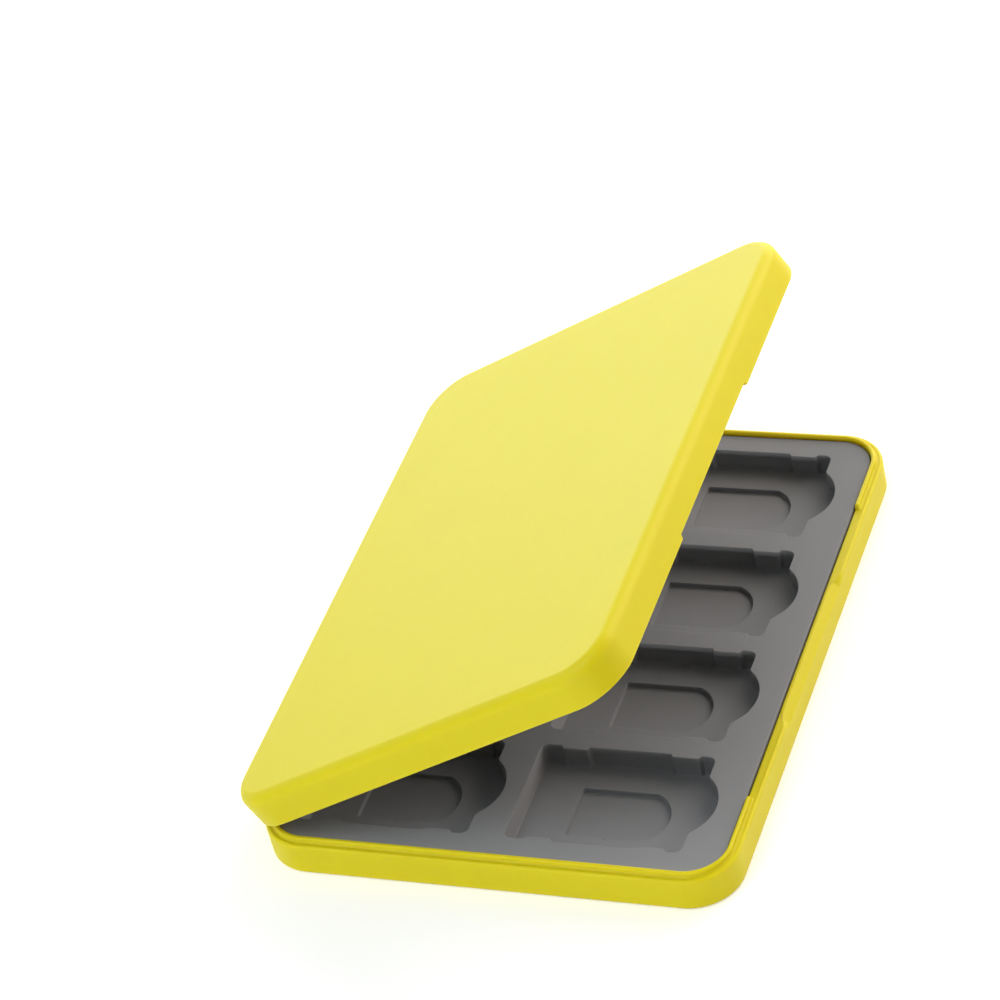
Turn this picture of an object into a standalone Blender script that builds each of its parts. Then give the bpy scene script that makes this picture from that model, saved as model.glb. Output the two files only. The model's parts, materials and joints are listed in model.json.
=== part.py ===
"""A slim hinged card case, open at the angle its lid was photographed at.

Units are metres. X runs across the hinge towards the opening side, Y runs along the hinge and Z is up.
The origin is the middle of the base's underside. Both halves are modelled closed, and then the lid's
pieces are hung on an empty that lies on the hinge axis and is turned by the opening angle.
"""

import math

import bmesh
import bpy

# Opening angle of the lid in the photograph
LID_OPEN_ANGLE = math.radians(28.8)

# Edges of both halves
CORNER_RADIUS = 0.0088
BASE_FILLET = 0.0006
LID_FILLET = 0.0020
RIM_FILLET = 0.0005

# Shell walls, from the outside in: a shoulder that carries the lid's rim, then a standing lip
SHELL_FLOOR = 0.0008
SHOULDER_WIDTH = 0.0012
LIP_WIDTH = 0.0008
LIP_HEIGHT = 0.0009
LIP_BREAK_LENGTH = 0.0742
LIP_CLEARANCE = 0.0002

# The bevelled sill on the base and the thumb notch over it, in the middle of the opening side
SILL_LENGTH = 0.0386
SILL_BEVEL = 0.00125
NOTCH_END_CLEARANCE = 0.0007
NOTCH_HEIGHT = 0.0007

# Trays: one moulding, used in both halves. Their margins and webs set the size of the case
TRAY_FLOOR = 0.0004
TRAY_END_MARGIN = 0.004275
TRAY_HINGE_SIDE_MARGIN = 0.003925
TRAY_OPENING_SIDE_MARGIN = 0.004425
TRAY_SIDE_GAP = 0.00025
TRAY_SEAT_GAP = 0.0003
TRAY_PROUD = 0.0003
CLOSED_GAP = 0.0002

# Card pockets, sized on a 31 x 21 x 3.3 mm game card
CARD_LENGTH = 0.0310
CARD_WIDTH = 0.0210
CARD_THICKNESS = 0.0033
CARD_END_PLAY = 0.0004
CARD_SIDE_PLAY = 0.0003
CARD_SINK = 0.0009
COLUMN_WEB = 0.00355
ROW_WEB = 0.00385
COLUMNS = 2
ROWS = 4

# A pocket's long sides: a land on each side of the middle, with reliefs between and beyond them
RELIEF_DEPTH = 0.00065
RELIEF_SLOPE = 0.0005
RELIEF_CORNER = 0.0003
NEAR_RELIEF_LENGTH = 0.0039
NEAR_LAND_LENGTH = 0.0043
FAR_LAND_LENGTH = 0.0046
FAR_RELIEF_LENGTH = 0.0031
POCKET_CORNER_RADIUS = 0.0011

# Finger scoop at a pocket's opening-side end
SCOOP_REACH = 0.00315
SCOOP_WIDTH = 0.0132

# Memory card recess in a pocket's floor, sized on a 15 x 11 mm card
MEMORY_CARD_WIDTH = 0.0110
MEMORY_CARD_PLAY = 0.0002
RECESS_START = 0.0084
RECESS_LENGTH = 0.0172
RECESS_END_RADIUS = 0.0062
RECESS_DEPTH = 0.0009
RECESS_CORNER_RADIUS = 0.0003
RECESS_NICK_RADIUS = 0.0005

# Hinge: a long barrel on the base between two knuckles on the lid, with a steel pin at each end
KNUCKLE_RADIUS = 0.0016
KNUCKLE_LENGTH = 0.0097
KNUCKLE_SIDE_GAP = 0.0003
KNUCKLE_END_INSET = 0.0010
HINGE_WALL_GAP = 0.0003
HINGE_ROOT_DEPTH = 0.0006
BARREL_ARM_HEIGHT = 0.0028
BARREL_ARM_CLEARANCE = 0.0005
BARREL_ARM_MEETS = 250
WEB_CLEARANCE = 0.0003
PIN_RADIUS = 0.0006
PIN_LENGTH = 0.0174
PIN_CLEARANCE = 0.0001
PIN_RECESS = 0.0003

# Closing magnets, two in each half, under the tray between the rows
MAGNET_RADIUS = 0.0025
MAGNET_THICKNESS = 0.0020
MAGNET_CLEARANCE = 0.0003
MAGNET_COVER = 0.0006
MAGNET_WALL = 0.0008

# Facets
CORNER_STEPS = 9
FILLET_STEPS = 3
LID_FILLET_STEPS = 6
ROUND_STEPS = 24
SMALL_ARC_STEPS = 2
NICK_STEPS = 4
SCOOP_STEPS = 10
SMOOTH_BELOW = 30

# Sizes, heights and places that follow from the sizes above
POCKET_LENGTH = CARD_LENGTH + CARD_END_PLAY
POCKET_WIDTH = CARD_WIDTH + CARD_SIDE_PLAY
POCKET_DEPTH = CARD_THICKNESS + CARD_SINK
COLUMN_PITCH = POCKET_LENGTH + SCOOP_REACH + COLUMN_WEB
ROW_PITCH = POCKET_WIDTH + 2 * RELIEF_DEPTH + ROW_WEB
PATTERN_WIDTH = COLUMNS * COLUMN_PITCH - COLUMN_WEB
PATTERN_LENGTH = ROWS * ROW_PITCH - ROW_WEB
TRAY_WIDTH = TRAY_HINGE_SIDE_MARGIN + PATTERN_WIDTH + TRAY_OPENING_SIDE_MARGIN
TRAY_LENGTH = PATTERN_LENGTH + 2 * TRAY_END_MARGIN
TRAY_THICKNESS = TRAY_FLOOR + RECESS_DEPTH + POCKET_DEPTH
WALL = SHOULDER_WIDTH + LIP_WIDTH
CASE_WIDTH = TRAY_WIDTH + 2 * (WALL + TRAY_SIDE_GAP)
CASE_LENGTH = TRAY_LENGTH + 2 * (WALL + TRAY_SIDE_GAP)
TRAY_BOTTOM = SHELL_FLOOR + TRAY_SEAT_GAP
TRAY_TOP = TRAY_BOTTOM + TRAY_THICKNESS
BASE_RIM = TRAY_TOP - TRAY_PROUD
LIP_TOP = BASE_RIM + LIP_HEIGHT
HINGE_HEIGHT = TRAY_TOP + CLOSED_GAP / 2
LID_TOP = 2 * HINGE_HEIGHT
LID_RIM = BASE_RIM + CLOSED_GAP
LID_SKIRT = SHOULDER_WIDTH - LIP_CLEARANCE
OPENING_SIDE = CASE_WIDTH / 2
HINGE_SIDE = -CASE_WIDTH / 2
HINGE_AXIS_X = HINGE_SIDE - HINGE_WALL_GAP - KNUCKLE_RADIUS
POCKET_FLOOR = TRAY_TOP - POCKET_DEPTH
KNUCKLE_END = CASE_LENGTH / 2 - CORNER_RADIUS - KNUCKLE_END_INSET
KNUCKLE_START = KNUCKLE_END - KNUCKLE_LENGTH
BARREL_END = KNUCKLE_START - KNUCKLE_SIDE_GAP
PIN_OUTER_END = KNUCKLE_END - PIN_RECESS
PIN_INNER_END = PIN_OUTER_END - PIN_LENGTH
TRAY_EDGE = TRAY_WIDTH / 2
MAGNET_BORE_RADIUS = MAGNET_RADIUS + MAGNET_CLEARANCE
MAGNET_X = TRAY_EDGE - MAGNET_WALL - MAGNET_BORE_RADIUS
MAGNET_TOP = TRAY_TOP - MAGNET_COVER - MAGNET_CLEARANCE
MAGNET_BOTTOM = MAGNET_TOP - MAGNET_THICKNESS
MAGNET_POST_TOP = MAGNET_BOTTOM - MAGNET_CLEARANCE
MAGNET_Y = ROW_PITCH * (ROWS // 4)
END_NAMES = {-1: "front", 1: "rear"}
CUT_MARGIN = 0.0020


def clear_scene():
    for obj in list(bpy.data.objects):
        bpy.data.objects.remove(obj, do_unlink=True)


def finish(name, colour, roughness, metallic=0.0):
    material = bpy.data.materials.new(name)
    material.use_nodes = True
    shader = material.node_tree.nodes["Principled BSDF"]
    shader.inputs["Base Color"].default_value = (*colour, 1.0)
    shader.inputs["Roughness"].default_value = roughness
    shader.inputs["Metallic"].default_value = metallic
    return material


# Outlines: lists of (x, y) points that run anticlockwise


def arc(centre, radius, start, end, steps):
    """Points of an arc, both ends included, with its angles in degrees."""
    points = []
    for step in range(steps + 1):
        angle = math.radians(start + (end - start) * step / steps)
        points.append((centre[0] + radius * math.cos(angle), centre[1] + radius * math.sin(angle)))
    return points


def circle(centre, radius):
    return arc(centre, radius, 0, 360, ROUND_STEPS)[:-1]


def rounded_rectangle(width, length, radius):
    x = width / 2 - radius
    y = length / 2 - radius
    points = []
    for corner, centre in enumerate(((x, y), (-x, y), (-x, -y), (x, -y))):
        points += arc(centre, radius, 90 * corner, 90 * corner + 90, CORNER_STEPS)
    return points


def case_outline(inset):
    """The case's outline drawn in by inset on every side."""
    return rounded_rectangle(CASE_WIDTH - 2 * inset, CASE_LENGTH - 2 * inset, CORNER_RADIUS - inset)


def rounded_path(corners, steps):
    """A closed outline through (x, y, radius) corners, each rounded by its own radius."""
    points = []
    for index, (x, y, radius) in enumerate(corners):
        before = corners[index - 1]
        after = corners[(index + 1) % len(corners)]
        if radius == 0:
            points.append((x, y))
            continue
        into = math.atan2(before[1] - y, before[0] - x)
        out = math.atan2(after[1] - y, after[0] - x)
        opening = abs((out - into + math.pi) % (2 * math.pi) - math.pi)
        back = radius / math.tan(opening / 2)
        first = (x + back * math.cos(into), y + back * math.sin(into))
        last = (x + back * math.cos(out), y + back * math.sin(out))
        for step in range(steps + 1):
            share = step / steps
            # A quadratic curve through the corner point stands in for the small arc
            bend = [(1 - share) ** 2, 2 * share * (1 - share), share**2]
            points.append(
                tuple(bend[0] * a + bend[1] * b + bend[2] * c for a, b, c in zip(first, (x, y), last))
            )
    return points


def pocket_outline():
    """One card pocket about its own middle: reliefs along both long sides, a finger scoop at +X."""
    near = -POCKET_LENGTH / 2
    far = POCKET_LENGTH / 2
    side = POCKET_WIDTH / 2
    relief = side + RELIEF_DEPTH
    middle_start = near + NEAR_RELIEF_LENGTH + NEAR_LAND_LENGTH
    middle_end = far - FAR_RELIEF_LENGTH - FAR_LAND_LENGTH
    upper_side = [
        (far, relief, POCKET_CORNER_RADIUS),
        (far - FAR_RELIEF_LENGTH + RELIEF_SLOPE, relief, RELIEF_CORNER),
        (far - FAR_RELIEF_LENGTH, side, RELIEF_CORNER),
        (middle_end, side, RELIEF_CORNER),
        (middle_end - RELIEF_SLOPE, relief, RELIEF_CORNER),
        (middle_start + RELIEF_SLOPE, relief, RELIEF_CORNER),
        (middle_start, side, RELIEF_CORNER),
        (near + NEAR_RELIEF_LENGTH, side, RELIEF_CORNER),
        (near + NEAR_RELIEF_LENGTH - RELIEF_SLOPE, relief, RELIEF_CORNER),
        (near, relief, POCKET_CORNER_RADIUS),
    ]
    lower_side = [(x, -y, radius) for x, y, radius in reversed(upper_side)]
    half_chord = SCOOP_WIDTH / 2
    scoop_radius = (half_chord**2 + SCOOP_REACH**2) / (2 * SCOOP_REACH)
    scoop_centre = (far + SCOOP_REACH - scoop_radius, 0.0)
    scoop_angle = math.degrees(math.asin(half_chord / scoop_radius))
    scoop = arc(scoop_centre, scoop_radius, -scoop_angle, scoop_angle, SCOOP_STEPS)
    return rounded_path(upper_side + lower_side + [(x, y, 0) for x, y in scoop], SMALL_ARC_STEPS)


def recess_outline():
    """One memory card recess about its pocket's middle: a bulging end at +X, a nick in the -Y side."""
    near = -POCKET_LENGTH / 2 + RECESS_START
    side = (MEMORY_CARD_WIDTH + MEMORY_CARD_PLAY) / 2
    end_centre = (near + RECESS_LENGTH - RECESS_END_RADIUS, 0.0)
    end_angle = math.degrees(math.asin(side / RECESS_END_RADIUS))
    bulge = arc(end_centre, RECESS_END_RADIUS, -end_angle, end_angle, SCOOP_STEPS)
    nick = arc((0.0, -side), RECESS_NICK_RADIUS, 180, 360, NICK_STEPS)
    corners = [(x, y, 0) for x, y in bulge]
    corners.append((near, side, RECESS_CORNER_RADIUS))
    corners.append((near, -side, RECESS_CORNER_RADIUS))
    corners += [(x, y, 0) for x, y in nick]
    return rounded_path(corners, SMALL_ARC_STEPS)


def pocket_centres():
    """Middles of the pockets, from the tray's hinge side outwards."""
    first_column = -TRAY_EDGE + TRAY_HINGE_SIDE_MARGIN + POCKET_LENGTH / 2
    centres = []
    for column in range(COLUMNS):
        for row in range(ROWS):
            y = (row - (ROWS - 1) / 2) * ROW_PITCH
            centres.append((first_column + column * COLUMN_PITCH, y))
    return centres


def moved(outline, centre):
    return [(x + centre[0], y + centre[1]) for x, y in outline]


# Solids


def add_object(name, bm, material=None):
    bmesh.ops.recalc_face_normals(bm, faces=bm.faces)
    mesh = bpy.data.meshes.new(name)
    bm.to_mesh(mesh)
    bm.free()
    mesh.shade_smooth()
    mesh.set_sharp_from_angle(angle=math.radians(SMOOTH_BELOW))
    obj = bpy.data.objects.new(name, mesh)
    bpy.context.scene.collection.objects.link(obj)
    if material:
        mesh.materials.append(material)
    return obj


def add_loft(bm, rings):
    """Joins rings of equally many (x, y, z) points into one closed solid, capped at both ends."""
    loops = [[bm.verts.new(point) for point in ring] for ring in rings]
    for below, above in zip(loops, loops[1:]):
        for index in range(len(below)):
            after = (index + 1) % len(below)
            bm.faces.new((below[index], below[after], above[after], above[index]))
    bm.faces.new(reversed(loops[0]))
    bm.faces.new(loops[-1])


def loft(name, profile, material=None):
    """A solid that follows the case's outline: profile lists its (inset, z) points in order."""
    bm = bmesh.new()
    add_loft(bm, [[(x, y, z) for x, y in case_outline(inset)] for inset, z in profile])
    return add_object(name, bm, material)


def upright_prisms(name, outlines, bottom, top, material=None):
    """One object that holds a prism over each outline, from bottom to top."""
    bm = bmesh.new()
    for outline in outlines:
        add_loft(bm, [[(x, y, z) for x, y in outline] for z in (bottom, top)])
    return add_object(name, bm, material)


def prisms_along_y(name, profile, spans, material=None):
    """One object that holds a prism over an (x, z) profile for each (start, end) span of Y."""
    bm = bmesh.new()
    for start, end in spans:
        add_loft(bm, [[(x, y, z) for x, z in profile] for y in (start, end)])
    return add_object(name, bm, material)


def box(name, low, high):
    corners = [(low[0], low[1]), (high[0], low[1]), (high[0], high[1]), (low[0], high[1])]
    return upright_prisms(name, [corners], low[2], high[2])


def combine(obj, tool, operation):
    """Cuts tool from obj, or joins it to obj, and keeps tool out of the render."""
    modifier = obj.modifiers.new(tool.name, "BOOLEAN")
    modifier.operation = operation
    modifier.solver = "EXACT"
    modifier.object = tool
    tool.hide_render = True
    tool.display_type = "WIRE"


def both_ends(start, end):
    """A span of Y near the rear end, and its mirror image near the front end."""
    return [(start, end), (-end, -start)]


# Base half


def base_shell(material):
    profile = arc((BASE_FILLET, BASE_FILLET), BASE_FILLET, 270, 180, FILLET_STEPS)
    profile += arc((RIM_FILLET, BASE_RIM - RIM_FILLET), RIM_FILLET, 180, 90, FILLET_STEPS)
    profile += [(SHOULDER_WIDTH, BASE_RIM), (SHOULDER_WIDTH, LIP_TOP), (WALL, LIP_TOP), (WALL, SHELL_FLOOR)]
    shell = loft("base_shell", profile, material)
    combine(shell, lip_break(), "DIFFERENCE")
    combine(shell, sill_bevel(), "DIFFERENCE")
    combine(shell, hinge_barrel(), "UNION")
    combine(shell, pin_bores(), "DIFFERENCE")
    combine(shell, magnet_posts("base_magnet_posts"), "UNION")
    return shell


def lip_break():
    """The stretch of the opening side where the lip is left off."""
    half = LIP_BREAK_LENGTH / 2
    low = (OPENING_SIDE - WALL - TRAY_SIDE_GAP, -half, BASE_RIM)
    high = (OPENING_SIDE - SHOULDER_WIDTH / 2, half, LIP_TOP + CUT_MARGIN)
    return box("lip_break", low, high)


def sill_bevel():
    """What is cut from the rim under the thumb notch, to leave a slope at 45 degrees."""
    inner = OPENING_SIDE - SILL_BEVEL - CUT_MARGIN
    outer = OPENING_SIDE + CUT_MARGIN
    top = BASE_RIM + CUT_MARGIN
    profile = [(inner, top), (outer, BASE_RIM - SILL_BEVEL - CUT_MARGIN), (outer, top)]
    return prisms_along_y("sill_bevel", profile, [(-SILL_LENGTH / 2, SILL_LENGTH / 2)])


def hinge_barrel():
    """The base's long barrel, on an arm that springs from the wall below the rim."""
    axis = (HINGE_AXIS_X, HINGE_HEIGHT)
    arm_top = LID_RIM - BARREL_ARM_CLEARANCE
    root = HINGE_SIDE + HINGE_ROOT_DEPTH
    meets = math.degrees(math.asin((arm_top - HINGE_HEIGHT) / KNUCKLE_RADIUS))
    profile = arc(axis, KNUCKLE_RADIUS, meets, BARREL_ARM_MEETS, ROUND_STEPS)
    profile += [(root, arm_top - BARREL_ARM_HEIGHT), (root, arm_top)]
    return prisms_along_y("hinge_barrel", profile, [(-BARREL_END, BARREL_END)])


def pin_bores():
    """A blind bore for each pin, through its knuckle and into the barrel."""
    profile = circle((HINGE_AXIS_X, HINGE_HEIGHT), PIN_RADIUS + PIN_CLEARANCE)
    inner = PIN_INNER_END - 2 * PIN_CLEARANCE
    return prisms_along_y("pin_bores", profile, both_ends(inner, KNUCKLE_END + CUT_MARGIN))


def magnet_centres():
    return {end: (MAGNET_X, end * MAGNET_Y) for end in END_NAMES}


def magnet_posts(name):
    outlines = [circle(centre, MAGNET_RADIUS) for centre in magnet_centres().values()]
    return upright_prisms(name, outlines, SHELL_FLOOR / 2, MAGNET_POST_TOP)


def magnet(name, end, material):
    outline = circle(magnet_centres()[end], MAGNET_RADIUS)
    return upright_prisms(name, [outline], MAGNET_BOTTOM, MAGNET_TOP, material)


def tray(name, material):
    """The moulded insert: card pockets, memory card recesses, and bores for the magnets underneath."""
    outline = case_outline(WALL + TRAY_SIDE_GAP)
    insert = upright_prisms(name, [outline], TRAY_BOTTOM, TRAY_TOP, material)
    centres = pocket_centres()
    pockets = [moved(pocket_outline(), centre) for centre in centres]
    recesses = [moved(recess_outline(), centre) for centre in centres]
    bores = [circle(centre, MAGNET_BORE_RADIUS) for centre in magnet_centres().values()]
    recess_floor = POCKET_FLOOR - RECESS_DEPTH
    recess_top = POCKET_FLOOR + POCKET_DEPTH / 2
    bore_top = MAGNET_TOP + MAGNET_CLEARANCE
    cuts = [
        upright_prisms(name + "_pockets", pockets, POCKET_FLOOR, TRAY_TOP + CUT_MARGIN),
        upright_prisms(name + "_recesses", recesses, recess_floor, recess_top),
        upright_prisms(name + "_bores", bores, TRAY_BOTTOM - CUT_MARGIN, bore_top),
    ]
    for cut in cuts:
        combine(insert, cut, "DIFFERENCE")
    return [insert, *cuts]


# Lid half, modelled closed over the base


def lid_shell(material):
    profile = arc((LID_FILLET, LID_TOP - LID_FILLET), LID_FILLET, 90, 180, LID_FILLET_STEPS)
    profile += [(0.0, LID_RIM), (LID_SKIRT, LID_RIM)]
    profile += [(LID_SKIRT, LIP_TOP + LIP_CLEARANCE), (WALL, LIP_TOP + LIP_CLEARANCE)]
    profile += [(WALL, LID_TOP - SHELL_FLOOR)]
    shell = loft("lid_shell", profile, material)
    posts = magnet_posts("lid_magnet_posts")
    turn_over(posts)
    tools = [lid_knuckles(), posts]
    for tool in tools:
        combine(shell, tool, "UNION")
    notch = thumb_notch()
    combine(shell, notch, "DIFFERENCE")
    combine(shell, bpy.data.objects["pin_bores"], "DIFFERENCE")
    return [shell, notch, *tools]


def thumb_notch():
    """What is cut from the lid's skirt over the sill, so that a thumb can lift the lid."""
    half = SILL_LENGTH / 2 + NOTCH_END_CLEARANCE
    low = (OPENING_SIDE - SHOULDER_WIDTH, -half, LID_RIM - CUT_MARGIN)
    high = (OPENING_SIDE + CUT_MARGIN, half, LID_RIM + NOTCH_HEIGHT)
    return box("thumb_notch", low, high)


def lid_knuckles():
    """The lid's two knuckles, each on a flat-topped web that springs from the wall."""
    axis = (HINGE_AXIS_X, HINGE_HEIGHT)
    web_bottom = LID_RIM + WEB_CLEARANCE
    root = HINGE_SIDE + HINGE_ROOT_DEPTH
    meets = math.degrees(math.asin((web_bottom - HINGE_HEIGHT) / KNUCKLE_RADIUS))
    profile = arc(axis, KNUCKLE_RADIUS, 90, 360 + meets, ROUND_STEPS)
    profile += [(root, web_bottom), (root, HINGE_HEIGHT + KNUCKLE_RADIUS)]
    return prisms_along_y("lid_knuckles", profile, both_ends(KNUCKLE_START, KNUCKLE_END))


def hinge_pin(name, end, material):
    outline = circle((HINGE_AXIS_X, HINGE_HEIGHT), PIN_RADIUS)
    span = sorted((end * PIN_INNER_END, end * PIN_OUTER_END))
    return prisms_along_y(name, outline, [span], material)


def turn_over(obj):
    """Turns a piece of the base half over the case's long middle plane into the lid, half a turn about X."""
    for vertex in obj.data.vertices:
        vertex.co = (vertex.co.x, -vertex.co.y, LID_TOP - vertex.co.z)


def hang_on_hinge(objects):
    """Parents the lid's pieces to an empty on the hinge axis, and opens the lid."""
    hinge = bpy.data.objects.new("lid_hinge_axis", None)
    hinge.empty_display_size = KNUCKLE_RADIUS
    hinge.location = (HINGE_AXIS_X, 0.0, HINGE_HEIGHT)
    hinge.rotation_euler = (0.0, -LID_OPEN_ANGLE, 0.0)
    bpy.context.scene.collection.objects.link(hinge)
    for obj in objects:
        obj.parent = hinge
        obj.location = (-HINGE_AXIS_X, 0.0, -HINGE_HEIGHT)


def build():
    clear_scene()
    yellow_abs = finish("yellow_abs", (0.73, 0.58, 0.02), 0.45)
    grey_rubber = finish("grey_rubber", (0.16, 0.16, 0.165), 0.75)
    steel = finish("steel", (0.62, 0.62, 0.63), 0.3, 1.0)
    nickel = finish("nickel", (0.70, 0.68, 0.64), 0.2, 1.0)
    base_shell(yellow_abs)
    tray("base_tray", grey_rubber)
    lid_pieces = lid_shell(yellow_abs)
    lid_tray = tray("lid_tray", grey_rubber)
    for piece in lid_tray:
        turn_over(piece)
    lid_pieces += lid_tray
    for end, place in END_NAMES.items():
        magnet(f"base_magnet_{place}", end, nickel)
        lid_magnet = magnet(f"lid_magnet_{place}", -end, nickel)
        turn_over(lid_magnet)
        lid_pieces.append(lid_magnet)
        lid_pieces.append(hinge_pin(f"hinge_pin_{place}", end, steel))
    hang_on_hinge(lid_pieces)


build()
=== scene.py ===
"""The looks of the hinged card case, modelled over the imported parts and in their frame.

Units are metres. X runs across the hinge towards the opening side, Y runs along the hinge and Z is up.
Every piece is modelled afresh with its fine roundings, and stands for its CAD node. The lid's pieces are
modelled as they lie when the case is shut, and then turned open about the hinge axis.
"""

import json
import math

import bmesh
import bpy
from mathutils import Matrix, Vector


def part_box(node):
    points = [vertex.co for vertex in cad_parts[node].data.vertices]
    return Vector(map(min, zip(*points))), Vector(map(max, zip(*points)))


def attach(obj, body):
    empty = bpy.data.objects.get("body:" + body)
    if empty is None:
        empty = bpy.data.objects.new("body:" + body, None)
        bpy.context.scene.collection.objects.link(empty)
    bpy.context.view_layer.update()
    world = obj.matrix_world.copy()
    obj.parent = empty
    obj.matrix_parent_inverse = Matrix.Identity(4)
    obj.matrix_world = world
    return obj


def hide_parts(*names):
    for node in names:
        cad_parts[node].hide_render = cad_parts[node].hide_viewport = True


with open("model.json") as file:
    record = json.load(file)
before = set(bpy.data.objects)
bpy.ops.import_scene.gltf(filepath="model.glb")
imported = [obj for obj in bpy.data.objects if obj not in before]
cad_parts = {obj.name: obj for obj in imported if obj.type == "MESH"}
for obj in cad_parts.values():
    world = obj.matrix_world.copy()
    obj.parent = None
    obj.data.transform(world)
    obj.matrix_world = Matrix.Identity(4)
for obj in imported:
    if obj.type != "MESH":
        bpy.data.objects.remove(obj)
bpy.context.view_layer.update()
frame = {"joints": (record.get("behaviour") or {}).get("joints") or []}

# The camera, fitted to the photograph
CAMERA_PLACE = Vector((0.23437, -0.47287, 0.46152))
CAMERA_AIM = Vector((-0.02280, 0.02599, 0.0134))
CAMERA_ROLL = math.radians(-14.45)
FOCAL_LENGTH = 3926.2
PHOTO_SIDE = 1000

# Sizes and places read from the frame
BASE_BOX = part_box("base_shell")
TRAY_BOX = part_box("base_tray")
HINGE = frame["joints"][0]
AXIS = Vector(HINGE["pos_m"])
ALONG_HINGE = Vector((0, 1, 0))
OPENING_ANGLE = math.radians(-HINGE["range_deg"][0])
CASE_WIDTH = 2 * BASE_BOX[1].x
CASE_LENGTH = 2 * BASE_BOX[1].y
TRAY_WIDTH = 2 * TRAY_BOX[1].x
TRAY_LENGTH = 2 * TRAY_BOX[1].y
TRAY_BOTTOM = TRAY_BOX[0].z
TRAY_TOP = TRAY_BOX[1].z
CASE_HEIGHT = 2 * AXIS.z
HINGE_SIDE = -CASE_WIDTH / 2
OPENED = (
    Matrix.Translation(AXIS)
    @ Matrix.Rotation(-OPENING_ANGLE, 4, "Y")
    @ Matrix.Translation(-AXIS)
)
TURNED_OVER = Matrix.Translation((0, 0, CASE_HEIGHT)) @ Matrix.Rotation(math.pi, 4, "X")

# Shells
CORNER_RADIUS = 0.0088
BASE_FILLET = 0.0006
LID_FILLET = 0.0020
FLOOR_THICKNESS = 0.0008
INNER_FILLET = 0.0004
WALL = 0.0020
TRAY_PROUD = 0.0002
CLOSED_GAP = 0.0001
BASE_RIM = TRAY_TOP - TRAY_PROUD
LID_RIM = BASE_RIM + CLOSED_GAP

# The base's rim, from the outer wall inwards: a rounded edge, a groove and a standing lip
RIM_FILLET = 0.0005
GROOVE_RADIUS = 0.0004
LIP_WIDTH = 0.0008
LIP_HEIGHT = 0.0009
LIP_ROUNDING = 0.00035
LIP_BREAK_LENGTH = 0.0742
LIP_END_LENGTH = 0.0006
LIP_FOOT = WALL - LIP_WIDTH
LIP_TOP = BASE_RIM + LIP_HEIGHT

# The bevelled sill for the thumb, in the middle of the opening side, and the lid's notch over it
SILL_LENGTH = 0.0386
SILL_BEVEL = 0.00125
SILL_ROUNDING = 0.0004
SILL_END_LENGTH = 0.0010
SILL_END_SLANT = 2.0
NOTCH_LENGTH = 0.0400
NOTCH_HEIGHT = 0.0007
NOTCH_END_LENGTH = 0.0006

# The lid's skirt, which closes on the base's rim, and the rebate that the lip goes into
LID_SKIRT = 0.0010
SKIRT_ROUNDING = 0.00025
REBATE_CLEARANCE = 0.0002
REBATE_ROUNDING = 0.0002

# Trays
TRAY_ROUNDING = 0.0002
POCKET_LENGTH = 0.0314
POCKET_WIDTH = 0.0213
POCKET_DEPTH = 0.0042
COLUMN_PITCH = 0.0381
ROW_PITCH = 0.02645
HINGE_SIDE_MARGIN = 0.003925
COLUMNS = 2
ROWS = 4
RELIEF_DEPTH = 0.00065
RELIEF_SLOPE = 0.00045
RELIEF_CORNER = 0.0003
NEAR_RELIEF_LENGTH = 0.0039
NEAR_LAND_LENGTH = 0.0043
FAR_LAND_LENGTH = 0.0046
FAR_RELIEF_LENGTH = 0.0031
POCKET_CORNER_RADIUS = 0.0013
SCOOP_REACH = 0.00315
SCOOP_WIDTH = 0.0132
SCOOP_NECK_RADIUS = 0.0008
POCKET_EDGE = 0.00012
POCKET_FLOOR_FILLET = 0.00025
POCKET_DRAFT = 0.00006
RECESS_WIDTH = 0.0112
RECESS_START = 0.0084
RECESS_LENGTH = 0.0172
RECESS_END_RADIUS = 0.0062
RECESS_DEPTH = 0.0009
RECESS_CORNER_RADIUS = 0.0005
RECESS_NICK_RADIUS = 0.0005
RECESS_EDGE = 0.00012
RECESS_FLOOR_FILLET = 0.00012

# Hinge
KNUCKLE_RADIUS = 0.001599
KNUCKLE_START = 0.0380
KNUCKLE_END = 0.0477
BARREL_END = 0.0377
BORE_RADIUS = 0.0007
BORE_END = 0.0298
HINGE_EDGE = 0.00015
HINGE_ROOT_DEPTH = 0.0006
HINGE_ROOT = HINGE_SIDE + HINGE_ROOT_DEPTH
KNUCKLE_MIDDLE = BORE_RADIUS + (KNUCKLE_RADIUS - BORE_RADIUS) / 2
ARM_TOP = 0.0060
ARM_BOTTOM = 0.0032
WEB_BOTTOM = 0.0068
PIN_EDGE = 0.0001

# Magnets and the posts they stand on
MAGNET_EDGE = 0.0002
MAGNET_CLEARANCE = 0.0003

# Facets, and the angles and distances that decide what counts as an edge or as one point
CORNER_STEPS = 28
LARGE_FILLET_STEPS = 10
FILLET_STEPS = 6
SMALL_FILLET_STEPS = 4
ROUND_STEPS = 96
ARC_STEPS = 6
SCOOP_STEPS = 36
END_STEPS = 5
SLANT_STEPS = 14
SHARP_ABOVE = math.radians(40)
CREASE_ABOVE = math.radians(60)
SAME_POINT = 1e-7
CORNER_MARGIN = 1e-6

ENDS = {"front": -1, "rear": 1}


# Outlines: lists of (x, y) points that run anticlockwise


def arc(centre, radius, start, end, steps):
    """Points of an arc, both ends included, with its angles in degrees."""
    points = []
    for step in range(steps + 1):
        angle = math.radians(start + (end - start) * step / steps)
        points.append((centre[0] + radius * math.cos(angle), centre[1] + radius * math.sin(angle)))
    return points


def circle(centre, radius):
    return arc(centre, radius, 0, 360, ROUND_STEPS)[:-1]


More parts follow.
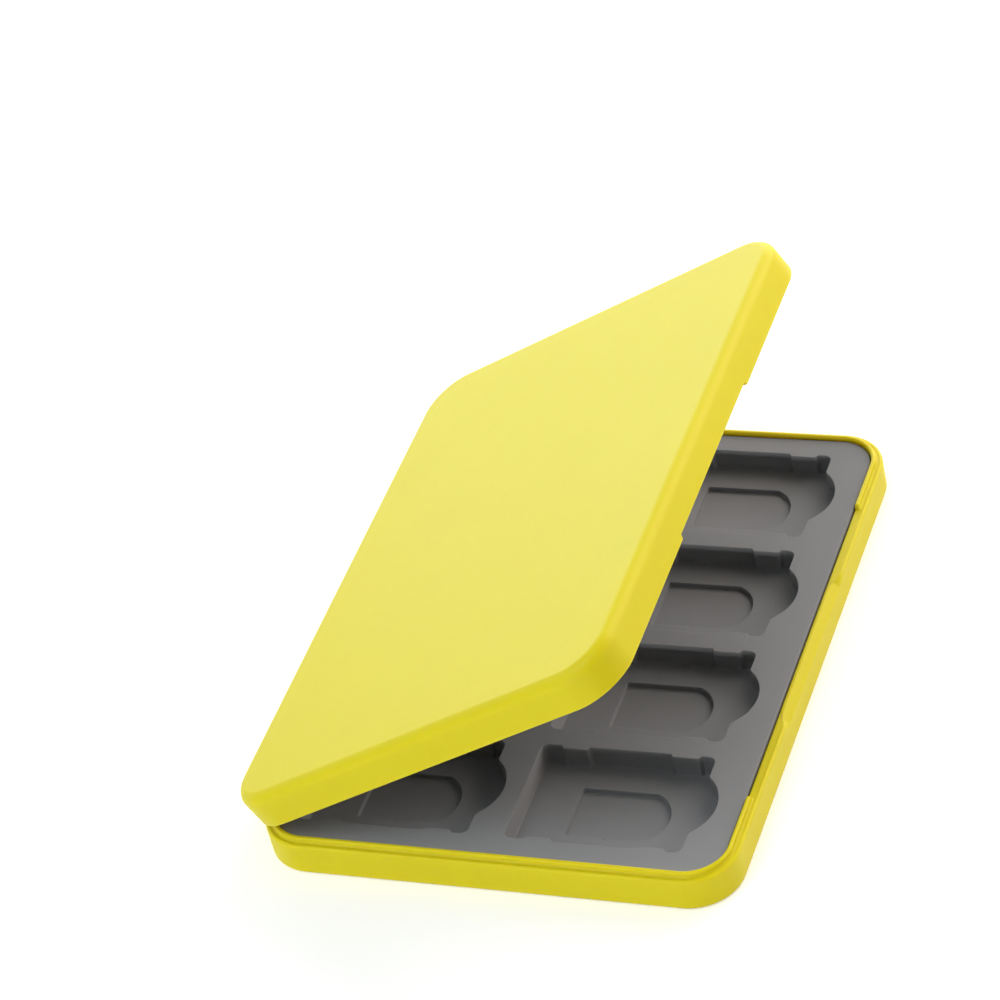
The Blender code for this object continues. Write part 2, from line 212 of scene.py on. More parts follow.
def rounded_rectangle(width, length, radius, marks=()):
    """Marks are places along Y where the +X side gets a point, for what starts or stops there."""
    x = width / 2 - radius
    y = length / 2 - radius
    points = []
    for corner, centre in enumerate(((x, y), (-x, y), (-x, -y), (x, -y))):
        points += arc(centre, radius, 90 * corner, 90 * corner + 90, CORNER_STEPS)
    return points + [(width / 2, mark) for mark in sorted(marks)]


def rounded_path(corners):
    """A closed outline through (x, y, radius) corners, each rounded by its own radius."""
    points = []
    for index, (x, y, radius) in enumerate(corners):
        corner = Vector((x, y))
        if radius == 0:
            points.append((x, y))
            continue
        into = (Vector(corners[index - 1][:2]) - corner).normalized()
        out = (Vector(corners[(index + 1) % len(corners)][:2]) - corner).normalized()
        half = into.angle(out) / 2
        centre = corner + (into + out).normalized() * radius / math.sin(half)
        first = corner + into * radius / math.tan(half) - centre
        last = corner + out * radius / math.tan(half) - centre
        turn = first.angle_signed(last)
        for step in range(ARC_STEPS + 1):
            spoke = Matrix.Rotation(-turn * step / ARC_STEPS, 2) @ first
            points.append(tuple(centre + spoke))
    return points


def pocket_outline():
    """One card pocket about its own middle: reliefs along both long sides, a finger scoop at +X."""
    near = -POCKET_LENGTH / 2
    far = POCKET_LENGTH / 2
    side = POCKET_WIDTH / 2
    relief = side + RELIEF_DEPTH
    middle_start = near + NEAR_RELIEF_LENGTH + NEAR_LAND_LENGTH
    middle_end = far - FAR_RELIEF_LENGTH - FAR_LAND_LENGTH
    half_chord = SCOOP_WIDTH / 2
    scoop_radius = (half_chord**2 + SCOOP_REACH**2) / (2 * SCOOP_REACH)
    scoop_centre = (far + SCOOP_REACH - scoop_radius, 0.0)
    scoop_angle = math.degrees(math.asin(half_chord / scoop_radius))
    scoop = arc(scoop_centre, scoop_radius, -scoop_angle, scoop_angle, SCOOP_STEPS)
    upper_side = [
        (far, half_chord, SCOOP_NECK_RADIUS),
        (far, relief, POCKET_CORNER_RADIUS),
        (far - FAR_RELIEF_LENGTH + RELIEF_SLOPE, relief, RELIEF_CORNER),
        (far - FAR_RELIEF_LENGTH, side, RELIEF_CORNER),
        (middle_end, side, RELIEF_CORNER),
        (middle_end - RELIEF_SLOPE, relief, RELIEF_CORNER),
        (middle_start + RELIEF_SLOPE, relief, RELIEF_CORNER),
        (middle_start, side, RELIEF_CORNER),
        (near + NEAR_RELIEF_LENGTH, side, RELIEF_CORNER),
        (near + NEAR_RELIEF_LENGTH - RELIEF_SLOPE, relief, RELIEF_CORNER),
        (near, relief, POCKET_CORNER_RADIUS),
    ]
    lower_side = [(x, -y, radius) for x, y, radius in reversed(upper_side)]
    return rounded_path(upper_side + lower_side + [(x, y, 0) for x, y in scoop[1:-1]])


def recess_outline():
    """One memory card recess about its pocket's middle: a bulging end at +X, a nick in the -Y side."""
    near = -POCKET_LENGTH / 2 + RECESS_START
    side = RECESS_WIDTH / 2
    end_centre = (near + RECESS_LENGTH - RECESS_END_RADIUS, 0.0)
    end_angle = math.degrees(math.asin(side / RECESS_END_RADIUS))
    bulge = arc(end_centre, RECESS_END_RADIUS, -end_angle, end_angle, SCOOP_STEPS)
    nick = arc((0.0, -side), RECESS_NICK_RADIUS, 180, 360, 2 * ARC_STEPS)
    corners = [(x, y, 0) for x, y in bulge]
    corners.append((near, side, RECESS_CORNER_RADIUS))
    corners.append((near, -side, RECESS_CORNER_RADIUS))
    corners += [(x, y, 0) for x, y in nick]
    return rounded_path(corners)


def pocket_centres():
    """Middles of the pockets, from the tray's hinge side outwards."""
    first_column = -TRAY_WIDTH / 2 + HINGE_SIDE_MARGIN + POCKET_LENGTH / 2
    for column in range(COLUMNS):
        for row in range(ROWS):
            y = (row - (ROWS - 1) / 2) * ROW_PITCH
            yield first_column + column * COLUMN_PITCH, y


def moved(outline, centre):
    return [(x + centre[0], y + centre[1]) for x, y in outline]


# Modelling


def quarter_turn(radius, steps):
    """The moves along and across of each step round a quarter circle that sets off along."""
    moves = []
    for step in range(steps):
        start = math.pi / 2 * step / steps
        end = math.pi / 2 * (step + 1) / steps
        along = radius * (math.sin(end) - math.sin(start))
        across = radius * (math.cos(start) - math.cos(end))
        moves.append((along, across))
    return moves


def add_face(bm, outline, z):
    """A level face that looks up."""
    face = bm.faces.new([bm.verts.new((x, y, z)) for x, y in outline])
    face.normal_update()
    return face


def draw_in(bm, face, inward, rise=0.0):
    """Insets a level face by inward and lifts it by rise."""
    bmesh.ops.inset_individual(
        bm,
        faces=[face],
        thickness=inward,
        depth=math.copysign(rise, rise * face.normal.z),
        use_even_offset=True,
    )


def over_edge(bm, face, radius):
    """Rounds from the face's own level over an edge, inwards and then down."""
    for along, across in quarter_turn(radius, SMALL_FILLET_STEPS):
        draw_in(bm, face, along, -across)


def round_off(bm, face, radius, up=1, steps=FILLET_STEPS):
    """Rounds from an upright wall to the level, up and then inwards, or down with up=-1."""
    for along, across in quarter_turn(radius, steps):
        draw_in(bm, face, across, up * along)


def draw_out(bm, face, move):
    """Extrudes a face by a move, and returns the new one at the far end. The old one stays."""
    made = bmesh.ops.extrude_face_region(bm, geom=[face])["geom"]
    verts = [item for item in made if isinstance(item, bmesh.types.BMVert)]
    bmesh.ops.translate(bm, verts=verts, vec=move)
    return [item for item in made if isinstance(item, bmesh.types.BMFace)][0]


def block(bm, outline, bottom, top):
    """A closed upright prism, as its lower and upper faces."""
    lower = add_face(bm, outline, bottom)
    upper = draw_out(bm, lower, (0, 0, top - bottom))
    bm.normal_update()
    return lower, upper


def round_creases(bm, radius):
    """Rounds every edge of a mesh that turns more than a round side's facets do."""
    bm.normal_update()
    creases = [edge for edge in bm.edges if edge.is_manifold and edge.calc_face_angle() > CREASE_ABOVE]
    bmesh.ops.bevel(
        bm,
        geom=creases,
        offset=radius,
        offset_type="OFFSET",
        segments=SMALL_FILLET_STEPS,
        profile=0.5,
        affect="EDGES",
        material=-1,
        clamp_overlap=True,
    )


def pierce(bm, face, outlines, z):
    """Opens level holes of the given outlines in a level face, and returns the faces that fill them."""
    rim = list(face.edges)
    bmesh.ops.delete(bm, geom=[face], context="FACES_ONLY")
    fills = [add_face(bm, outline, z) for outline in outlines]
    for fill in fills:
        rim += fill.edges
    bmesh.ops.triangle_fill(bm, edges=rim, use_beauty=True, use_dissolve=False, normal=(0, 0, 1))
    return fills


def grown(outline, amount):
    """An outline drawn outwards by amount on every side."""
    bm = bmesh.new()
    face = add_face(bm, outline, 0.0)
    draw_in(bm, face, -amount)
    points = [(vert.co.x, vert.co.y) for vert in face.verts]
    bm.free()
    return points


def spun(profile, axis_point, direction):
    """A solid turned about an axis from (distance along it, radius) points."""
    bm = bmesh.new()
    across = direction.orthogonal().normalized()
    verts = [bm.verts.new(axis_point + direction * along + across * radius) for along, radius in profile]
    edges = [bm.edges.new(pair) for pair in zip(verts, verts[1:])]
    bmesh.ops.spin(
        bm,
        geom=verts + edges,
        cent=axis_point,
        axis=direction,
        angle=math.tau,
        steps=ROUND_STEPS,
        use_merge=True,
    )
    bmesh.ops.remove_doubles(bm, verts=bm.verts, dist=SAME_POINT)
    return bm


def prism_along_y(profile, start, end):
    """A solid over an (x, z) outline between two places along Y."""
    bm = bmesh.new()
    face = bm.faces.new([bm.verts.new((x, start, z)) for x, z in profile])
    draw_out(bm, face, (0, end - start, 0))
    return bm


def cylinder(axis_point, direction, start, end, radius, edge):
    """A solid cylinder between two distances along its axis, with rounded edges."""
    bm = spun([(start, 0.0), (start, radius), (end, radius), (end, 0.0)], axis_point, direction)
    round_creases(bm, edge)
    return bm


def merge_into(bm, *others):
    """Adds the other meshes to bm, as further islands of the same piece."""
    for other in others:
        bmesh.ops.recalc_face_normals(other, faces=other.faces)
        mesh = bpy.data.meshes.new("island")
        other.to_mesh(mesh)
        other.free()
        bm.from_mesh(mesh)
        bpy.data.meshes.remove(mesh)


def finish_piece(name, bm, material, body, node, place=None):
    """Makes the object, stands it for its CAD node and lets it ride on its body."""
    bmesh.ops.recalc_face_normals(bm, faces=bm.faces)
    if place is not None:
        bmesh.ops.transform(bm, matrix=place, verts=bm.verts)
    mesh = bpy.data.meshes.new(name)
    bm.to_mesh(mesh)
    bm.free()
    mesh.shade_smooth()
    mesh.set_sharp_from_angle(angle=SHARP_ABOVE)
    mesh.materials.append(material)
    piece = bpy.data.objects.new(name, mesh)
    bpy.context.scene.collection.objects.link(piece)
    normals = piece.modifiers.new("even_shading", "WEIGHTED_NORMAL")
    normals.keep_sharp = True
    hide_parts(node)
    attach(piece, body)


# The shells' rims: profiles are lists of (inset from the outer wall, height) points


def draw_profile(bm, face, profile):
    """Insets a level face along a profile, and returns the vertices of each ring that this leaves."""
    rings = [list(face.verts)]
    for start, end in zip(profile, profile[1:]):
        draw_in(bm, face, end[0] - start[0], end[1] - start[1])
        rings.append(list(face.verts))
    return rings


def evenly(start, end, count):
    """As many points as count, evenly spaced between two others that are left out."""
    return [Vector(start).lerp(Vector(end), step / (count + 1)) for step in range(1, count + 1)]


def mirrored(places):
    return [sign * place for sign in ENDS.values() for place in places]


def stations(start, end, steps):
    return [start + (end - start) * step / steps for step in range(steps + 1)]


def smooth_share(value, middle, length):
    """0 before a change and 1 after it, with a smooth run of this length between."""
    step = min(max((value - middle) / length + 0.5, 0.0), 1.0)
    return step * step * (3 - 2 * step)


def shape_opening_side(rings, place):
    """Moves each ring's points along the opening side's straight wall to place(ring number, y)."""
    straight = CASE_LENGTH / 2 - CORNER_RADIUS - CORNER_MARGIN
    for number, ring in enumerate(rings):
        for vert in ring:
            if vert.co.x > 0 and abs(vert.co.y) < straight:
                inset, height = place(number, vert.co.y)
                vert.co.x = CASE_WIDTH / 2 - inset
                vert.co.z = height


# The base's shell


def rounded_inner_edge(top, radius):
    return arc((WALL - radius, top - radius), radius, 90, 0, FILLET_STEPS)


def rim_profiles():
    """The base's rim as three profiles of as many points: with the lip, without it and at the sill."""
    edge_centre = (RIM_FILLET, BASE_RIM - RIM_FILLET)
    reach = RIM_FILLET + GROOVE_RADIUS
    swing = math.asin((LIP_FOOT - reach) / reach)
    groove_centre = (LIP_FOOT - GROOVE_RADIUS, edge_centre[1] + reach * math.cos(swing))
    groove_floor = groove_centre[1] - GROOVE_RADIUS
    turn = math.degrees(swing)
    edge = arc(edge_centre, RIM_FILLET, 180, 90 - turn, FILLET_STEPS)
    groove = arc(groove_centre, GROOVE_RADIUS, 270 - turn, 270, SMALL_FILLET_STEPS)
    foot = arc(groove_centre, GROOVE_RADIUS, 270, 360, SMALL_FILLET_STEPS)[1:]
    lip_centre = (LIP_FOOT + LIP_ROUNDING, LIP_TOP - LIP_ROUNDING)
    lip_edge = arc(lip_centre, LIP_ROUNDING, 180, 90, SMALL_FILLET_STEPS)
    with_lip = edge + groove[1:] + foot + lip_edge + rounded_inner_edge(LIP_TOP, LIP_ROUNDING)

    inner_edge = rounded_inner_edge(groove_floor, LIP_ROUNDING)
    flat = evenly(groove[-1], inner_edge[0], len(foot) + len(lip_edge))
    without_lip = edge + groove[1:] + flat + inner_edge

    wall_top = BASE_RIM - SILL_BEVEL
    tangent = math.tan(math.pi / 8)
    low_centre = (SILL_ROUNDING, wall_top - SILL_ROUNDING * tangent)
    high_centre = (SILL_BEVEL + LIP_ROUNDING * tangent, BASE_RIM - LIP_ROUNDING)
    low_edge = arc(low_centre, SILL_ROUNDING, 180, 135, FILLET_STEPS)
    high_edge = arc(high_centre, LIP_ROUNDING, 135, 90, len(groove) - 2)
    inner_edge = rounded_inner_edge(BASE_RIM, LIP_ROUNDING)
    flat = evenly(high_edge[-1], inner_edge[0], len(foot) + len(lip_edge))
    sill = low_edge + high_edge + flat + inner_edge
    return with_lip, without_lip, sill


def make_base_shell():
    bm = bmesh.new()
    with_lip, without_lip, sill = rim_profiles()
    lip_end = LIP_BREAK_LENGTH / 2
    sill_end = SILL_LENGTH / 2
    sill_start = sill_end - SILL_END_SLANT * WALL
    lip_run = LIP_END_LENGTH / 2
    sill_run = SILL_END_LENGTH / 2
    lip_stations = stations(lip_end - lip_run, lip_end + lip_run, END_STEPS)
    sill_stations = stations(sill_start - sill_run, sill_end + sill_run, SLANT_STEPS)

    def place(number, y):
        along = abs(y)
        bare = Vector(without_lip[number])
        point = bare.lerp(with_lip[number], smooth_share(along, lip_end, LIP_END_LENGTH))
        slanted_end = sill_end - SILL_END_SLANT * with_lip[number][0]
        return Vector(sill[number]).lerp(point, smooth_share(along, slanted_end, SILL_END_LENGTH))

    marks = mirrored(lip_stations + sill_stations)
    outline = rounded_rectangle(CASE_WIDTH, CASE_LENGTH, CORNER_RADIUS, marks)
    lower, upper = block(bm, outline, BASE_FILLET, with_lip[0][1])
    round_off(bm, lower, BASE_FILLET, up=-1)
    rings = draw_profile(bm, upper, with_lip)
    draw_in(bm, upper, 0.0, FLOOR_THICKNESS + INNER_FILLET - with_lip[-1][1])
    round_off(bm, upper, INNER_FILLET, up=-1)
    shape_opening_side(rings, place)
    return bm


# The lid's shell, modelled rim upwards


def make_lid_shell():
    bm = bmesh.new()
    rim = CASE_HEIGHT - LID_RIM
    ledge = CASE_HEIGHT - (LIP_TOP + REBATE_CLEARANCE)
    level = rim - SKIRT_ROUNDING
    outer_edge = arc((SKIRT_ROUNDING, level), SKIRT_ROUNDING, 180, 90, SMALL_FILLET_STEPS)
    inner_edge = arc((LID_SKIRT - SKIRT_ROUNDING, level), SKIRT_ROUNDING, 90, 0, SMALL_FILLET_STEPS)
    skirt = outer_edge + inner_edge
    rebate = [(LID_SKIRT, ledge)] + rounded_inner_edge(ledge, REBATE_ROUNDING)
    notched = [(inset, height - NOTCH_HEIGHT) for inset, height in skirt] + rebate
    profile = skirt + rebate
    notch_end = NOTCH_LENGTH / 2
    half_run = NOTCH_END_LENGTH / 2

    def place(number, y):
        share = smooth_share(abs(y), notch_end, NOTCH_END_LENGTH)
        return Vector(notched[number]).lerp(profile[number], share)

    marks = mirrored(stations(notch_end - half_run, notch_end + half_run, END_STEPS))
    outline = rounded_rectangle(CASE_WIDTH, CASE_LENGTH, CORNER_RADIUS, marks)
    lower, upper = block(bm, outline, LID_FILLET, profile[0][1])
    round_off(bm, lower, LID_FILLET, up=-1, steps=LARGE_FILLET_STEPS)
    rings = draw_profile(bm, upper, profile)
    draw_in(bm, upper, 0.0, FLOOR_THICKNESS + INNER_FILLET - profile[-1][1])
    round_off(bm, upper, INNER_FILLET, up=-1)
    shape_opening_side(rings, place)
    return bm


# The trays


def make_tray():
    """The moulded insert, as it lies in the base."""
    bm = bmesh.new()
    radius = CORNER_RADIUS - (CASE_WIDTH - TRAY_WIDTH) / 2
    outline = rounded_rectangle(TRAY_WIDTH, TRAY_LENGTH, radius)
    lower, upper = block(bm, outline, TRAY_BOTTOM + TRAY_ROUNDING, TRAY_TOP - TRAY_ROUNDING)
    round_off(bm, lower, TRAY_ROUNDING, up=-1, steps=SMALL_FILLET_STEPS)
    round_off(bm, upper, TRAY_ROUNDING, steps=SMALL_FILLET_STEPS)
    pockets = [moved(grown(pocket_outline(), POCKET_EDGE), centre) for centre in pocket_centres()]
    wall = POCKET_DEPTH - POCKET_EDGE - POCKET_FLOOR_FILLET
    recess_wall = RECESS_DEPTH - RECESS_EDGE - RECESS_FLOOR_FILLET
    floor = TRAY_TOP - POCKET_DEPTH
    for pocket, centre in zip(pierce(bm, upper, pockets, TRAY_TOP), pocket_centres()):
        over_edge(bm, pocket, POCKET_EDGE)
        draw_in(bm, pocket, POCKET_DRAFT, -wall)
        round_off(bm, pocket, POCKET_FLOOR_FILLET, up=-1, steps=SMALL_FILLET_STEPS)
        opening = moved(grown(recess_outline(), RECESS_EDGE), centre)
        recess = pierce(bm, pocket, [opening], floor)[0]
        over_edge(bm, recess, RECESS_EDGE)
        draw_in(bm, recess, 0.0, -recess_wall)
        round_off(bm, recess, RECESS_FLOOR_FILLET, up=-1, steps=SMALL_FILLET_STEPS)
    seats = [magnet_seat(end) for end in ENDS]
    bores = [circle(centre, radius + MAGNET_CLEARANCE) for centre, radius, _, _ in seats]
    magnet_top = seats[0][3]
    for bore in pierce(bm, lower, bores, TRAY_BOTTOM):
        draw_in(bm, bore, 0.0, magnet_top + MAGNET_CLEARANCE - TRAY_BOTTOM)
    return bm


# Hinge and magnets


def barrel():
    bore = [(BORE_END, 0.0), (BORE_END, BORE_RADIUS), (BARREL_END, BORE_RADIUS)]
    rim = [(BARREL_END, KNUCKLE_RADIUS)]
    profile = bore + rim + [(-along, radius) for along, radius in reversed(bore + rim)]
    bm = spun(profile, AXIS, ALONG_HINGE)
    round_creases(bm, HINGE_EDGE)
    return bm


def barrel_arm():
    profile = [
        (AXIS.x, AXIS.z - KNUCKLE_MIDDLE),
        (HINGE_ROOT, ARM_BOTTOM),
        (HINGE_ROOT, ARM_TOP),
        (AXIS.x + KNUCKLE_MIDDLE, ARM_TOP),
    ]
    bm = prism_along_y(profile, -BARREL_END, BARREL_END)
    round_creases(bm, HINGE_EDGE)
    return bm


def knuckle(sign):
    start, end = sorted((sign * KNUCKLE_START, sign * KNUCKLE_END))
    profile = [
        (start, BORE_RADIUS),
        (start, KNUCKLE_RADIUS),
        (end, KNUCKLE_RADIUS),
        (end, BORE_RADIUS),
        (start, BORE_RADIUS),
    ]
    bm = spun(profile, AXIS, ALONG_HINGE)
    round_creases(bm, HINGE_EDGE)
    return bm


def knuckle_web(sign):
    start, end = sorted((sign * KNUCKLE_START, sign * KNUCKLE_END))
    top = AXIS.z + KNUCKLE_RADIUS
    profile = [
        (AXIS.x + KNUCKLE_MIDDLE, WEB_BOTTOM),
        (HINGE_ROOT, WEB_BOTTOM),
        (HINGE_ROOT, top),
        (AXIS.x, top),
        (AXIS.x, top - KNUCKLE_MIDDLE / 2),
    ]
    bm = prism_along_y(profile, start, end)
    round_creases(bm, HINGE_EDGE)
    return bm


def magnet_seat(end):
    """The place under a base magnet's middle, and its radius, underside and top."""
    low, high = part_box(f"base_magnet_{end}")
    middle = (low + high) / 2
    return Vector((middle.x, middle.y, 0)), (high.x - low.x) / 2, low.z, high.z


def magnet_post(end):
    centre, radius, underside, _ = magnet_seat(end)
    foot = FLOOR_THICKNESS / 2
    return cylinder(centre, Vector((0, 0, 1)), foot, underside - MAGNET_CLEARANCE, radius, MAGNET_EDGE)


def magnet(end):
    centre, radius, underside, top = magnet_seat(end)
    return cylinder(centre, Vector((0, 0, 1)), underside, top, radius, MAGNET_EDGE)


def hinge_pin(end):
    low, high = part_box(f"hinge_pin_{end}")
    return cylinder(AXIS, ALONG_HINGE, low.y, high.y, (high.x - low.x) / 2, PIN_EDGE)


# Materials


def linear(hex_colour):
    """An sRGB hex colour as linear RGBA."""
    channels = [int(hex_colour[place : place + 2], 16) / 255 for place in (1, 3, 5)]
    curve = [
        value / 12.92 if value <= 0.04045 else ((value + 0.055) / 1.055) ** 2.4 for value in channels
    ]
    return (*curve, 1.0)


def add_node(tree, kind, inputs=None, **settings):
    """Adds a node with its settings, and fills or links its inputs by socket name or number."""
    made = tree.nodes.new(kind)
    for name, value in settings.items():
        setattr(made, name, value)
    for key, value in (inputs or {}).items():
        if isinstance(value, bpy.types.NodeSocket):
            tree.links.new(value, made.inputs[key])
        else:
            made.inputs[key].default_value = value
    return made


def new_material(name, **sockets):
    material = bpy.data.materials.new(name)
    material.use_nodes = True
    shader = material.node_tree.nodes["Principled BSDF"]
    for key, value in sockets.items():
        shader.inputs[key.replace("_", " ")].default_value = value
    return material, material.node_tree, shader


def moulded_abs():
    """ABS, injection moulded in a finely spark-eroded mould: satin, with an even grain that glints softly.

    Light goes about a millimetre into it, red the farthest, which turns thin rims and shaded sides golden.
    """
    material, tree, shader = new_material(
        "moulded_satin_abs",
        IOR=1.53,
        Specular_IOR_Level=0.24,
        Subsurface_Weight=0.6,
        Subsurface_Radius=(1.0, 0.75, 0.08),
        Subsurface_Scale=0.0012,
    )
    place = add_node(tree, "ShaderNodeTexCoord").outputs["Object"]
    # The grain is about 0.03 mm on the real one, and drawn at 0.35 mm so that it shows
    grain = add_node(tree, "ShaderNodeTexNoise", {"Vector": place, "Scale": 1 / 0.00035, "Detail": 2.0})
    # The melt's flow leaves faint clouds, about 20 mm across
    clouds = add_node(tree, "ShaderNodeTexNoise", {"Vector": place, "Scale": 1 / 0.020, "Detail": 2.0})
    tone = add_node(
        tree,
        "ShaderNodeMix",
        {"Factor": clouds.outputs["Fac"], "A": linear("#D8CA01"), "B": linear("#DCCE03")},
        data_type="RGBA",
    )
    tree.links.new(tone.outputs[2], shader.inputs["Base Color"])
    gloss = add_node(
        tree,
        "ShaderNodeMapRange",
        {"Value": grain.outputs["Fac"], "From Min": 0.3, "From Max": 0.7, "To Min": 0.42, "To Max": 0.52},
    )
    tree.links.new(gloss.outputs["Result"], shader.inputs["Roughness"])
    bump = add_node(
        tree,
        "ShaderNodeBump",
        {"Height": grain.outputs["Fac"], "Strength": 0.5, "Distance": 0.00002},
    )
    tree.links.new(bump.outputs["Normal"], shader.inputs["Normal"])
    return material


def moulded_rubber():
    """Thermoplastic rubber, moulded matt: a soft grey with a powdery look and hardly any reflection."""
    material, tree, shader = new_material("moulded_matt_rubber", IOR=1.5, Specular_IOR_Level=0.05)
    place = add_node(tree, "ShaderNodeTexCoord").outputs["Object"]
    # The mould's grain is about 0.05 mm on the real one, and drawn at 0.3 mm so that it shows
    grain = add_node(tree, "ShaderNodeTexNoise", {"Vector": place, "Scale": 1 / 0.0003, "Detail": 2.0})
    clouds = add_node(tree, "ShaderNodeTexNoise", {"Vector": place, "Scale": 1 / 0.015, "Detail": 2.0})
    tone = add_node(
        tree,
        "ShaderNodeMix",
        {"Factor": clouds.outputs["Fac"], "A": linear("#8B8C8F"), "B": linear("#919295")},
        data_type="RGBA",
    )
    tree.links.new(tone.outputs[2], shader.inputs["Base Color"])
    gloss = add_node(
        tree,
        "ShaderNodeMapRange",
        {"Value": grain.outputs["Fac"], "From Min": 0.3, "From Max": 0.7, "To Min": 0.72, "To Max": 0.82},
    )
    tree.links.new(gloss.outputs["Result"], shader.inputs["Roughness"])
    bump = add_node(
        tree,
        "ShaderNodeBump",
        {"Height": grain.outputs["Fac"], "Strength": 0.4, "Distance": 0.00001},
    )
    tree.links.new(bump.outputs["Normal"], shader.inputs["Normal"])
    return material


def drawn_steel():
    """Steel wire, drawn and cut: bright, with fine lines along its length."""
    material, tree, shader = new_material("drawn_steel_wire", Metallic=1.0)
    place = add_node(tree, "ShaderNodeTexCoord").outputs["Object"]
    # Drawing lines 0.05 mm apart round the wire and about 5 mm long
    stretched = add_node(
        tree,
        "ShaderNodeMapping",
        {"Vector": place, "Scale": (1 / 0.00005, 1 / 0.005, 1 / 0.00005)},
    )
    lines = add_node(
        tree,
        "ShaderNodeTexNoise",
        {"Vector": stretched.outputs["Vector"], "Scale": 1.0, "Detail": 3.0},
    )
    tone = add_node(
        tree,
        "ShaderNodeMix",
        {"Factor": lines.outputs["Fac"], "A": linear("#C4C3C0"), "B": linear("#D2D1CE")},
        data_type="RGBA",
    )
    tree.links.new(tone.outputs[2], shader.inputs["Base Color"])
    gloss = add_node(
        tree,
        "ShaderNodeMapRange",
        {"Value": lines.outputs["Fac"], "To Min": 0.22, "To Max": 0.36},
    )
    tree.links.new(gloss.outputs["Result"], shader.inputs["Roughness"])
    return material


def plated_nickel():
    """Nickel, plated on a ground magnet: warm and bright, with a faint orange-peel."""
    material, tree, shader = new_material("plated_nickel", Metallic=1.0)
    place = add_node(tree, "ShaderNodeTexCoord").outputs["Object"]
    # Plating follows the ground blank, with soft dimples about 0.4 mm across
    dimples = add_node(tree, "ShaderNodeTexNoise", {"Vector": place, "Scale": 1 / 0.0004, "Detail": 1.0})
    tone = add_node(
        tree,
        "ShaderNodeMix",
        {"Factor": dimples.outputs["Fac"], "A": linear("#CFC8BC"), "B": linear("#DAD4C9")},
        data_type="RGBA",
    )
    tree.links.new(tone.outputs[2], shader.inputs["Base Color"])
    gloss = add_node(
        tree,
        "ShaderNodeMapRange",
        {"Value": dimples.outputs["Fac"], "To Min": 0.14, "To Max": 0.24},
    )
    tree.links.new(gloss.outputs["Result"], shader.inputs["Roughness"])
    return material


# Studio

FLOOR_SIZE = 6.0
FLOOR_GAP = 0.00002
FILL_STRENGTH = 0.03
FLOOR_GLOW = 0.30
LIT_REACH = 0.35
UNLIT_REACH = 1.6
NEUTRAL = (1.0, 1.0, 1.0)
WARM = (1.0, 0.91, 0.82)
COOL = (0.91, 0.97, 1.0)
FULL_WHITE = (*NEUTRAL, 1.0)


def area_light(name, place, aim, width, height, brightness, colour):
    """A soft box of this size, whose face is as bright as a white board lit that many times over."""
    data = bpy.data.lights.new(name, "AREA")
    data.color = colour
    data.shape = "RECTANGLE"
    data.size = width
    data.size_y = height
    data.energy = brightness * math.pi * width * height
    light = bpy.data.objects.new(name, data)
    light.location = place
    light.rotation_euler = (Vector(aim) - Vector(place)).to_track_quat("-Z", "Y").to_euler()
    bpy.context.scene.collection.objects.link(light)


def seen_white(tree):
    """1 for the rays that look straight at a thing or at its reflection, and 0 for those that light."""
    rays = add_node(tree, "ShaderNodeLightPath")
    seen = add_node(
        tree,
        "ShaderNodeMath",
        {0: rays.outputs["Is Camera Ray"], 1: rays.outputs["Is Glossy Ray"]},
        operation="ADD",
    )
    return add_node(
        tree,
        "ShaderNodeMath",
        {0: seen.outputs["Value"], 1: rays.outputs["Is Transmission Ray"]},
        operation="ADD",
        use_clamp=True,
    ).outputs["Value"]


def white_sweep():
    """Matt white paper, which looks fully white where no shadow falls."""
    material, tree, shader = new_material(
        "matt_white_paper",
        Roughness=0.9,
        Specular_IOR_Level=0.0,
        Emission_Color=FULL_WHITE,
    )
    # Fibre clumps about 3 mm across, a shade apart
    place = add_node(tree, "ShaderNodeTexCoord").outputs["Object"]
    fibres = add_node(tree, "ShaderNodeTexNoise", {"Vector": place, "Scale": 1 / 0.003, "Detail": 2.0})
    tone = add_node(
        tree,
        "ShaderNodeMix",
        {"Factor": fibres.outputs["Fac"], "A": linear("#F5F5F5"), "B": linear("#F9F9F9")},
        data_type="RGBA",
    )
    tree.links.new(tone.outputs[2], shader.inputs["Base Color"])
    # Out of the lamps' reach the paper looks white as well, as if its own lamps lit it there
    away = add_node(tree, "ShaderNodeVectorMath", {0: place}, operation="LENGTH")
    glow_out_there = add_node(
        tree,
        "ShaderNodeMapRange",
        {
            "Value": away.outputs["Value"],
            "From Min": LIT_REACH,
            "From Max": UNLIT_REACH,
            "To Min": FLOOR_GLOW,
        },
    )
    glow = add_node(
        tree,
        "ShaderNodeMath",
        {0: seen_white(tree), 1: glow_out_there.outputs["Result"]},
        operation="MULTIPLY",
    )
    tree.links.new(glow.outputs["Value"], shader.inputs["Emission Strength"])
    return material


def make_floor():
    bm = bmesh.new()
    bmesh.ops.create_grid(bm, x_segments=1, y_segments=1, size=FLOOR_SIZE / 2)
    bmesh.ops.translate(bm, verts=bm.verts, vec=(0, 0, -FLOOR_GAP))
    mesh = bpy.data.meshes.new("floor")
    bm.to_mesh(mesh)
    bm.free()
    mesh.materials.append(white_sweep())
    floor = bpy.data.objects.new("floor", mesh)
    bpy.context.scene.collection.objects.link(floor)


def make_world():
    """White all round to the camera and in reflections, and a dim even fill to everything else."""
    world = bpy.data.worlds.new("studio")
    world.use_nodes = True
    tree = world.node_tree
    background = tree.nodes["Background"]
    background.inputs["Color"].default_value = FULL_WHITE
    strength = add_node(
        tree,
        "ShaderNodeMapRange",
        {"Value": seen_white(tree), "To Min": FILL_STRENGTH},
    )
    tree.links.new(strength.outputs["Result"], background.inputs["Strength"])
    bpy.context.scene.world = world


